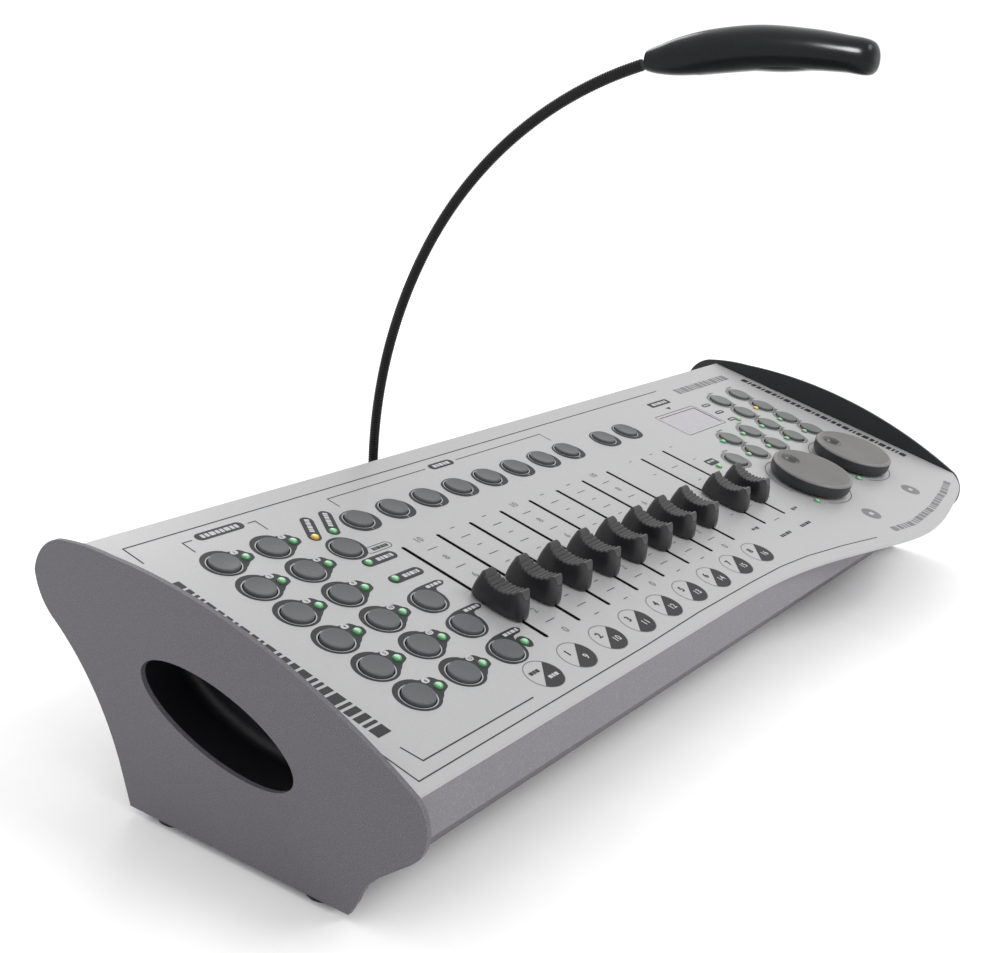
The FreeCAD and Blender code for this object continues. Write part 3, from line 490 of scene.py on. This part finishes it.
for x, v in FUNCTIONS[1:]:
    black.area(smooth(shifted(FUNCTION_WELL, x, v), 4), circle(x, v, HOLE))
    white.dashes(x + 11.6, v + 7.15, 9.0, 1.7, pattern=(3, 2, 3, 2))
x, v = FUNCTIONS[0]
black.area(circle(x + 0.4, v, 8.8, 56), circle(x, v, HOLE))
black.line(pill(107.6, 112.6, 15.0, 4.2), 0.35, closed=True)
black.dashes(108.6, 112.6, 9.4, 1.9)
x, v = FUNCTIONS[3]
black.area(smooth([(x + 9.4, v - 2.6), (x + 12.5, v - 3.6), (x + 14.8, v - 0.4),
                   (x + 13.6, v + 3.2), (x + 9.4, v + 2.8)], 4),
           circle(x + FIXTURE_LED_DX, v, LED_HOLE, 20))

# edit keys: a grey ring with a dark inner line, which is painted shade of the gap round the cap,
# and a small label behind it
for x, v in EDITS:
    grey.line(circle(x, v, 8.3), 1.5, closed=True)
    black.line(circle(x, v, 7.05), 0.3, closed=True)
    grey.dashes(x + 4.4, v + 9.9, 6.4, 1.3, pattern=(2, 1, 3, 2))

# status pills, page pills and brackets along the rear
for x0, v0, x1, v1 in ((108.2, 144.1, 99.4, 129.9), (96.7, 143.8, 88.5, 130.1)):
    turn = math.degrees(math.atan2(v0 - v1, x0 - x1))
    length = math.hypot(x0 - x1, v0 - v1) + 3
    black.area(pill((x0 + x1) / 2, (v0 + v1) / 2, length, 6.0, turn))
    white.dashes((x0 + x1) / 2 + 1.4, (v0 + v1) / 2 + 2.2, length - 8.5, 2.2, turn)
for x, v in ((101.1, 106.0), (101.2, 91.8)):
    black.area(pill(x, v, 19.6, 5.6))
    white.dashes(x + 3.0, v, 9.6, 2.2, pattern=(3, 2, 3, 1, 2))
black.area(pill(57.1, 152.8, 25, 5.2))
white.dashes(57.1, 152.8, 19.5, 2.5, pattern=(2, 2, 3, 2, 2, 3, 2, 2))
black.line([(37.6, 144.9), (37.6, 152.4), (42.4, 152.4)], 0.55)
black.line([(71.8, 152.4), (76.0, 152.4), (76.0, 144.9)], 0.55)
black.area(pill(197.9, 152.3, 17.5, 4.8))
white.dashes(197.9, 152.3, 12.0, 2.3, pattern=(3, 2, 3, 2, 3))
black.line([(118.8, 145), (118.8, 152.4), (186.2, 152.4)], 0.5)
black.line([(209.6, 152.4), (281.7, 152.4), (281.7, 144.6)], 0.5)

# channel rings, half filled along a slanting line
RING_R = 8.1
HALF_START = math.radians(222)
HALF_STEPS = 28
for i in range(9):
    x, v = 94.2 + i * 23.13, 17.4 + i * 0.16
    grey.line(circle(x, v, RING_R, 56), 0.45, closed=True)
    half_turns = [HALF_START + math.pi * k / HALF_STEPS for k in range(HALF_STEPS + 1)]
    black.area([(x + RING_R * math.cos(t), v + RING_R * math.sin(t)) for t in half_turns])
    if i:
        fine.number(i, x - 2.6, v + 2.7, 4.8)
        white.number(i + 8, x + 2.7, v - 2.7, 4.4)
    else:
        fine.dashes(x - 2.7, v + 2.6, 5.6, 1.7, pattern=(3, 2, 3))
        white.dashes(x + 2.7, v - 2.6, 5.6, 1.7, pattern=(3, 2, 3))

# dark edges of the fader slots
for x in SLOTS + SPEED_SLOTS:
    black.area(pill(x, SLOT_MID_V, SLOT_L + 0.4, SLOT_W + 0.3, 90),
               pill(x, SLOT_MID_V, SLOT_L, SLOT_W, 90))

# fader scales
SCALE_PITCH = 15.5
NUMBER_V = [108.4 - k * SCALE_PITCH for k in range(6)]
for gap in range(7):
    x = SLOTS[gap] + 11.6
    numbered = gap in (0, 3, 6)
    for k, v in enumerate(NUMBER_V):
        if numbered:
            grey.number(10 - 2 * k, x, v, 5.0)
        else:
            black.line([(x - 1.6, v), (x + 1.6, v)], 0.4)
        if k < 5:
            between = v - SCALE_PITCH / 2
            black.line([(x - 3.2, between), (x + 3.2, between)], 0.4)
for k, v in enumerate(NUMBER_V):
    x = SPEED_SLOTS[0] + 11.6
    reach = 3.2 if k % 2 else 1.6
    black.line([(x - reach, v), (x + reach, v)], 0.35)
    for side_x in (304.8, 348.4):
        black.line([(side_x - 1.5, v), (side_x + 1.5, v)], 0.35)
for x, v in ((314.8, 20.0), (338.0, 19.6)):
    black.dashes(x, v, 11.0, 1.9, pattern=(2, 2, 1, 3, 2))
for x, v in ((303.0, 32.0), (350.0, 32.0)):
    black.dashes(x, v, 6.0, 1.5, pattern=(2, 1, 2))

# border lines
black.line([(5.8, 52.0), (5.8, 4.7), (150, 5.2), (198, 6.2), (249, 5.7), (277, 4.9), (303, 2.4),
            (335, -3.1), (366, -9.7)], 0.55)
black.line([(14.9, 147.5), (14.8, 159.4), (417.6, 159.0)], 0.6)
black.line([(13.9, 19.7), (15.1, 10.7), (78.0, 10.7)], 0.6)

# plain bars in place of the large edge titles
BARS = (3, 1, 2, 2, 1, 3, 2, 1, 1, 3, 2, 2, 1, 3, 1, 2, 3, 1, 2, 2, 3, 1, 1, 2, 3)


def bar_title(ink, x0, v0, x1, v1, height, pattern):
    """Bars of uneven length from one point to another."""
    reach = math.hypot(x1 - x0, v1 - v0)
    turn = math.degrees(math.atan2(v1 - v0, x1 - x0))
    unit = 1.0 / (sum(pattern) + BAR_GAP * (len(pattern) - 1))
    place = 0.0
    for share in pattern:
        t = place + share * unit / 2
        ink.area(pill(x0 + (x1 - x0) * t, v0 + (v1 - v0) * t, reach * share * unit, height, turn,
                      0.3))
        place += (share + BAR_GAP) * unit


bar_title(black, 14.8, 27.0, 14.8, 132.0, 6.6, BARS)
bar_title(black, 508.2, 145.0, 508.2, 28.0, 5.6, BARS + BARS[3:10])
CURVED = [(386.4, -10.8), (410.5, -14.2), (443.7, -12.8), (474.1, -8.7), (499.1, -3.4)]
for a, b, part in zip(CURVED, CURVED[1:], (5, 7, 7, 5)):
    bar_title(grey, a[0], a[1], b[0] - 2.0, b[1], 4.2, BARS[part:part + part])
bar_title(grey, 432.0, 152.5, 498.0, 152.5, 6.0, BARS[3:17])

# display surround and small labels
black.line(pill(399.8, 123.9, 45.4, 24.0, 0, 1.2), 0.4, closed=True)
black.area(pill(401.0, 147.2, 22.0, 5.0, 0, 0.8))
white.dashes(401.0, 147.2, 16.0, 2.3, pattern=(3, 2, 3, 2, 2))
black.area([(398.5, 141.2), (401.0, 138.6), (403.5, 141.2)])
for x, v in ((433.6, 132.0), (433.3, 122.3), (432.2, 112.9)):
    black.area(pill(x, v, 9.0, 3.0))
    white.dashes(x, v, 5.6, 1.3, pattern=(2, 2, 2))
black.area(pill(356.0, 86.0, 10.0, 5.6, 0, 1.0))
white.dashes(356.0, 86.6, 6.6, 1.5, pattern=(2, 1, 2))
for x, v in ((393.3, 4.6), (455.8, 5.1)):
    grey.area(circle(x, v, 5.6, 40))
    white.area(pill(x, v, 3.4, 2.4, 0, 0.4))
# an open ring round each jog wheel, broken at its lamp
OPEN_RING_R = 24.6
OPEN_RING_START, OPEN_RING_SPAN = 232, 316
for x, v, _ in JOGS:
    turns = [math.radians(a) for a in range(OPEN_RING_START, OPEN_RING_START + OPEN_RING_SPAN, 6)]
    black.line([(x + OPEN_RING_R * math.cos(t), v + OPEN_RING_R * math.sin(t)) for t in turns], 0.4)

black.make("print_black", INK)
white.make("print_white", INK_WHITE)
fine.make("print_fine", INK)
grey.make("print_grey", INK_GREY)


# ---------------------------------------------------------------- indicator lamps
def led_material(name, edge, middle):
    made = surface(name, middle, vary=0.04, grain=900, broad=300, rough=0.22, rough_vary=0.03,
                   bump=0.03, coat=0.4, coat_rough=0.05)
    tree = made.node_tree
    shader = tree.nodes["Principled BSDF"]
    # Painted highlight: the lens is lighter in the middle and darker towards the rim; this colour
    # also feeds a faint emission.
    painted_highlight = node(tree, "ShaderNodeAttribute", attribute_name="painted_highlight").outputs["Fac"]
    painted_highlight_tone = ramp(tree, painted_highlight, ((0.0, middle), (0.35, middle), (0.85, edge)))
    mixed = multiply(tree, painted_highlight_tone, shader.inputs["Base Color"].links[0].from_socket, 0.15)
    tree.links.new(mixed, shader.inputs["Base Color"])
    tree.links.new(mixed, shader.inputs["Emission Color"])
    shader.inputs["Emission Strength"].default_value = 0.08
    return made


def leds(name, points, material):
    """Domed lenses, with a painted highlight that runs from a light middle to a darker rim."""
    low, base, dome, tip = -1.4, 0.15, 1.15, 0.12
    profile = [(LED_R, low), (LED_R, base)]
    profile += [(LED_R * math.cos(math.radians(a)), base + dome * math.sin(math.radians(a)))
                for a in range(12, 90, 12)]
    profile.append((tip, base + dome))
    turns = [2 * math.pi * k / 28 for k in range(28)]
    vertices, faces, marks = [], [], []
    for x, v in points:
        loops = [[panel(x + r * math.cos(t), v + r * math.sin(t), h) for t in turns]
                 for r, h in profile]
        faces += rings(loops, True, True, len(vertices))
        vertices += [p for loop in loops for p in loop]
        marks += [r / LED_R for r, _ in profile for _ in turns]
    return build(name, vertices, faces, [material], "desk", smooth=50, marks=marks)


GREEN_LED = led_material("led_green_lens", (0.05, 0.2, 0.08), (0.33, 0.62, 0.38))
YELLOW_LED = led_material("led_yellow_lens", (0.35, 0.24, 0.02), (0.8, 0.64, 0.12))
edit_leds = [(EDITS[i][0] + EDIT_LED_DX, EDITS[i][1] + EDIT_LED_DV) for i in EDITS_WITH_LED]
green_points = [(x + FIXTURE_LED_DX, v) for x, v in FIXTURES + FUNCTIONS[3:]] + edit_leds[1:]
green_points += [(x + JOG_LED_DX, v + JOG_LED_DV) for x, v, _ in JOGS]
green_points += STATUS_LEDS[1:] + LABEL_LEDS
green_leds = leds("led_lenses_green", green_points, GREEN_LED)
yellow_leds = leds("led_lenses_yellow", [STATUS_LEDS[0], edit_leds[0]], YELLOW_LED)
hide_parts("indicator_leds")
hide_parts("indicator_leds")


# ---------------------------------------------------------------- jog wheels
JOG_R = 22.6
JOG_BOTTOM, JOG_TOP_H = 1.0, 8.7
JOG_SHAFT_R = 3.2
JOG_FLAT_R = 20.9
DIMPLE_OFFSET = 13.4
DIMPLE_R = 5.4
DIMPLE_DEPTH = 3.1
# radius of the dimple's painted shade
DIMPLE_SHADE_R = 5.0
CROWN_DROP = 0.25          # how far the middle of the top is hollowed
FIRST_BEVEL, FIRST_TOP = 5, 9


def jog_wheel(name, cad_node, x, v, turn, body):
    """A wheel with a finger dimple pressed into its top; the bevel is painted lighter as a painted
    highlight and the dimple darker as painted shade.
    """
    low, top = JOG_BOTTOM, JOG_TOP_H
    profile = [(JOG_SHAFT_R, low), (20.6, low), (21.4, low + 0.3), (22.3, low + 1.2),
               (JOG_R, low + 2.2), (JOG_R, top - 1.15), (22.5, top - 0.75), (22.1, top - 0.35),
               (21.5, top - 0.1), (JOG_FLAT_R, top)]
    profile += [(JOG_FLAT_R - k * 0.55, top) for k in range(1, 38)]
    count = 160
    dx, dv = DIMPLE_OFFSET * math.cos(turn), DIMPLE_OFFSET * math.sin(turn)
    loops = []
    for index, (r, h) in enumerate(profile):
        loop = []
        for k in range(count):
            t = 2 * math.pi * k / count
            px, pv = r * math.cos(t), r * math.sin(t)
            drop = 0.0
            if index >= FIRST_TOP:
                away = math.hypot(px - dx, pv - dv) / DIMPLE_R
                if away < 1.0:
                    drop = DIMPLE_DEPTH * (1 - away ** 2) ** 0.62
                drop -= 0.2 * math.exp(-((away - 1.1) / 0.08) ** 2)
                drop += CROWN_DROP * max(0.0, 1 - r / 22.0) ** 1.5
            loop.append(panel(x + px, v + pv, h - drop))
        loops.append(loop)
    choice = []
    for index, (r, _) in enumerate(profile[:-1]):
        band = 2 if index < FIRST_BEVEL else 1 if index < FIRST_TOP else 0
        for k in range(count):
            t = 2 * math.pi * (k + 0.5) / count
            away = math.hypot(r * math.cos(t) - dx, r * math.sin(t) - dv)
            choice.append(3 if index >= FIRST_TOP and away < DIMPLE_SHADE_R else band)
    choice += [2, 0]
    made = build(name, [p for loop in loops for p in loop], rings(loops, True, True),
                 [JOG_TOP, JOG_BEVEL_HIGHLIGHT, JOG_SIDE, JOG_DIMPLE_SHADE], body, smooth=32,
                 choice=choice)
    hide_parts(cad_node)


jog_wheel("jog_disc_left", "jog_wheel_left", *JOGS[0], "jog_wheel_left")
jog_wheel("jog_disc_right", "jog_wheel_right", *JOGS[1], "jog_wheel_right")


# ---------------------------------------------------------------- fader knobs
KNOB_REST_V = 56.3
KNOB_LOW = 0.9             # bottom of the cap above the faceplate
KNOB_HALF_L, KNOB_HALF_W, KNOB_HEIGHT = 13.2, 5.6, 12.4
SADDLE_DEPTH = 3.7
PEAK_V = 9.4               # from the cap's middle to the highest point of either end
SADDLE_R = (PEAK_V ** 2 + SADDLE_DEPTH ** 2) / (2 * SADDLE_DEPTH)
RIB_PITCH, RIB_DEPTH, RIB_REACH = 1.95, 0.75, 8.2
EDGE_DROP = 0.42           # how far the rim lies below the ribs


def knob_outline(k, h, count):
    """Point k of the cap's oval section at a height above its bottom."""
    t = 2 * math.pi * (k + 0.5) / count
    lean = 1.0 - 0.26 * (h / KNOB_HEIGHT) ** 1.9
    slim = 1.0 - 0.17 * (h / KNOB_HEIGHT) ** 1.2
    c, s = math.cos(t), math.sin(t)
    return (KNOB_HALF_W * slim * math.copysign(abs(c) ** 0.66, c),
            KNOB_HALF_L * lean * math.copysign(abs(s) ** 0.90, s))


def saddle(v):
    """Height of the hollow top, rounded off beyond its peaks."""
    inside = min(abs(v), PEAK_V)
    top = KNOB_HEIGHT - SADDLE_DEPTH + SADDLE_R - math.sqrt(SADDLE_R ** 2 - inside * inside)
    if abs(v) > PEAK_V - 1.3:
        top -= 0.34 * (abs(v) - PEAK_V + 1.3) ** 2
    return top


def ribs(v):
    wave = 0.5 + 0.5 * math.cos(2 * math.pi * v / RIB_PITCH)
    fade = min(1.0, max(0.0, (RIB_REACH - abs(v)) / 0.5))
    return -RIB_DEPTH * fade * (1 - wave ** 0.55)


def knob(name, cad_node, x, body):
    """An oval cap with leaning ends and a saddle top that carries fine cross ribs."""
    count, side_rows, top_rows = 320, 10, 12

    def place(u, v, h):
        return panel(x + u, KNOB_REST_V + v, KNOB_LOW + h)

    rims = [knob_outline(k, saddle(knob_outline(k, KNOB_HEIGHT - SADDLE_DEPTH, count)[1]), count)
            for k in range(count)]
    feet = [knob_outline(k, 0, count) for k in range(count)]
    loops = [[place(u * 0.97, v * 0.985, 0) for u, v in feet]]
    for row in range(1, side_rows + 1):
        loop = []
        for k in range(count):
            top = saddle(rims[k][1]) + 0.8 * ribs(rims[k][1]) - EDGE_DROP
            h = 0.25 + (top - 0.25) * row / side_rows
            loop.append(place(*knob_outline(k, h, count), h))
        loops.append(loop)
    for row in range(top_rows + 1):
        inner = row / top_rows
        rounding = 0.05 * (1 - (1 - min(1, inner * 8)) ** 2)
        keep = max(0.002, 1.0 - rounding - 0.95 * max(0.0, inner - 0.06) / 0.94)
        rise = -EDGE_DROP * max(0.0, 1 - inner * 12) ** 2
        loops.append([place(u * keep, v, saddle(v) + rise + ribs(v)) for u, v in rims])
    faces = rings(loops, True, False)
    last = (len(loops) - 1) * count
    for k in range(-count // 4, count // 4 - 1):
        strip = (k, k + 1, count // 2 - 2 - k, count // 2 - 1 - k)
        faces.append(tuple(last + i % count for i in strip))
    made = build(name, [p for loop in loops for p in loop], faces, [KNOB], body,
                 smooth=35)
    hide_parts(cad_node)


for number, x in enumerate(SLOTS + SPEED_SLOTS, 1):
    knob(f"fader_cap_{number}", f"fader_knob_{number}", x, f"fader_knob_{number}")


# ---------------------------------------------------------------- gooseneck
REAR_Y = 189.98
START_Z = 85.70
LOW_R, LOW_TURN = 215.0, 30.0
HIGH_R, HIGH_END = 185.0, 73.0
SEAM_TURN = 16             # where the two sleeves meet on the lower arc
SLEEVE_R = 2.12
RING_HEIGHT, RING_PITCH = 0.33, 1.25
SLEEVE_STEP = 0.156
FOOT_DROP, FOOT_STEP = 2.9, 0.15


def low_point(turn):
    t = math.radians(turn)
    return (REAR_Y - LOW_R * (1 - math.cos(t)), START_Z + LOW_R * math.sin(t), t)


def high_point(turn):
    t0, t = math.radians(LOW_TURN), math.radians(turn)
    y0, z0, _ = low_point(LOW_TURN)
    return (y0 - HIGH_R * (math.cos(t0) - math.cos(t)),
            z0 + HIGH_R * (math.sin(t) - math.sin(t0)), t)


def ribbed(name, points):
    """A sleeve of close rings along the neck; points are (y, z, lean, length along)."""
    turns = [2 * math.pi * k / 28 for k in range(28)]
    loops = []
    for y, z, lean, along in points:
        r = SLEEVE_R + RING_HEIGHT * abs(math.sin(math.pi * along / RING_PITCH)) ** 0.7
        across_y, across_z = math.cos(lean), math.sin(lean)
        loops.append([desk(LAMP_X + r * math.cos(t), y + r * math.sin(t) * across_y,
                           z + r * math.sin(t) * across_z) for t in turns])
    return build(name, [p for loop in loops for p in loop], rings(loops, True, True), [NECK],
                 None, smooth=60)


def run(point, radius, start, end, base):
    """Stations along one arc, with the length of neck before them."""
    steps = int(radius * math.radians(end - start) / SLEEVE_STEP)
    turns = [start + (end - start) * i / steps for i in range(steps + 1)]
    return [(*point(turn), base + radius * math.radians(turn)) for turn in turns]


foot = [(REAR_Y, START_Z - FOOT_DROP + FOOT_STEP * i, 0.0, -FOOT_DROP + FOOT_STEP * i)
        for i in range(19)]
low_arc = run(low_point, LOW_R, 0, SEAM_TURN, 0.0)
middle_arc = run(low_point, LOW_R, SEAM_TURN, LOW_TURN, 0.0)
high_arc = run(high_point, HIGH_R, LOW_TURN, HIGH_END,
               (LOW_R - HIGH_R) * math.radians(LOW_TURN))
lower_sleeve = ribbed("neck_sleeve_lower", foot + low_arc)
upper_sleeve = ribbed("neck_sleeve_upper", middle_arc[:-1] + high_arc)
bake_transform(lower_sleeve)
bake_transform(upper_sleeve)
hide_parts("gooseneck_lower")
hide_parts("gooseneck_upper")


# ---------------------------------------------------------------- lamp head
HEAD_L = 97.0
HEAD_HALF_W = 11.0
HEAD_INSET = 0.985         # keeps the gloss skin inside the moulded shell's size
HEAD_START, HEAD_BODY, HEAD_NOSE = 0.03, 0.945, 0.0235
# share of the length, rise, half height, share of the half width
HEAD_SECTIONS = [(0.00, 1.6, 3.4, 0.36), (0.07, 2.2, 5.4, 0.50), (0.17, 3.8, 7.4, 0.66),
                 (0.31, 5.9, 8.5, 0.84), (0.52, 7.9, 8.5, 0.99), (0.74, 7.8, 7.5, 1.0),
                 (0.88, 6.8, 6.7, 0.87), (0.96, 5.8, 6.4, 0.70), (1.00, 5.2, 5.0, 0.48)]


def head_section(share):
    """Rise, half height and half width at a share of the head's length, on a cubic curve."""
    table = HEAD_SECTIONS
    i = max(k for k in range(len(table) - 1) if table[k][0] <= share or k == 0)
    a, b = table[i], table[i + 1]
    span = b[0] - a[0]
    t = (share - a[0]) / span
    out = []
    for c in (1, 2, 3):
        before = table[i - 1] if i else a
        after = table[i + 2] if i + 2 < len(table) else b
        m0 = (b[c] - before[c]) / (b[0] - before[0]) * span
        m1 = (after[c] - a[c]) / (after[0] - a[0]) * span
        out.append((2 * t ** 3 - 3 * t * t + 1) * a[c] + (t ** 3 - 2 * t * t + t) * m0
                   + (-2 * t ** 3 + 3 * t * t) * b[c] + (t ** 3 - t * t) * m1)
    return out


def lamp_head():
    """A long drop with a blunt rounded nose."""
    y0, z0, _ = high_point(HIGH_END)
    count, rows, nose_rows = 72, 110, 9
    loops = []
    for row in range(rows + nose_rows):
        if row <= rows:
            share, shrink = HEAD_START + HEAD_BODY * row / rows, 1.0
        else:
            a = math.radians(90 * (row - rows) / nose_rows)
            share = HEAD_START + HEAD_BODY + HEAD_NOSE * math.sin(a)
            shrink = math.cos(a) ** 0.6
        rise, tall, wide = head_section(share)
        wide *= HEAD_HALF_W
        loop = []
        for k in range(count):
            t = 2 * math.pi * k / count
            c, s = math.cos(t), math.sin(t)
            flat = 0.80 if s < 0 else 0.96
            u = wide * shrink * math.copysign(abs(c) ** 0.92, c) * HEAD_INSET
            h = tall * shrink * math.copysign(abs(s) ** flat, s) * HEAD_INSET
            loop.append(desk(LAMP_X + u, y0 - share * HEAD_L, z0 + rise + h))
        loops.append(loop)
    shell = build("lamp_shell_gloss", [p for loop in loops for p in loop], rings(loops, True, True),
                  [HEAD], "lamp_neck_upper", smooth=40)
    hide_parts("lamp_shell")
    return shell


head = lamp_head()

# ---------------------------------------------------------------- studio
FLOOR = 30.0
floor_mesh = bpy.data.meshes.new("floor")
floor_mesh.from_pydata([(-FLOOR, -FLOOR, 0), (FLOOR, -FLOOR, 0), (FLOOR, FLOOR, 0),
                        (-FLOOR, FLOOR, 0)], [], [(0, 1, 2, 3)])
floor_mesh.materials.append(surface("floor_white", (0.97, 0.97, 0.97), vary=0.01, grain=40,
                                    broad=3, rough=0.9, bump=0.02, specular=0.0))
floor = bpy.data.objects.new("floor", floor_mesh)
bpy.context.scene.collection.objects.link(floor)

world = bpy.data.worlds.new("studio")
bpy.context.scene.world = world
world.use_nodes = True
world.node_tree.nodes["Background"].inputs["Color"].default_value = (1, 1, 1, 1)
world.node_tree.nodes["Background"].inputs["Strength"].default_value = 1.08


def lamp(name, place, target, size, power, only=None):
    """A round soft light aimed at a point; with only, it lights just that piece."""
    data = bpy.data.lights.new(name, "AREA")
    data.shape = "DISK"
    data.size = size
    data.energy = power
    made = bpy.data.objects.new(name, data)
    made.location = place
    made.rotation_euler = (Vector(target) - Vector(place)).to_track_quat("-Z", "Y").to_euler()
    bpy.context.scene.collection.objects.link(made)
    if only:
        lit = bpy.data.collections.new(name + "_lights_only")
        lit.objects.link(only)
        made.light_linking.receiver_collection = lit


lamp("key", (0.5, -1.3, 1.5), (0, 0, 0.05), 0.9, 14)
lamp("rear", (0.9, 1.4, 1.3), (0, 0.05, 0.1), 0.7, 5)
lamp("glint", (-1.1, -0.25, 1.02), (-0.06, -0.1, 0.28), 0.62, 60, head)

camera_data = bpy.data.cameras.new("camera")
camera_data.lens = 49.01
camera_data.sensor_width = 36
camera = bpy.data.objects.new("camera", camera_data)
bpy.context.scene.collection.objects.link(camera)
camera.matrix_world = Matrix((
    (0.580956, 0.195174, -0.790188, -0.556087),
    (-0.812235, 0.201738, -0.547336, -0.307252),
    (0.052585, 0.959796, 0.275728, 0.266718),
    (0, 0, 0, 1)))
bpy.context.scene.camera = camera
bpy.context.scene.view_settings.view_transform = "Standard"
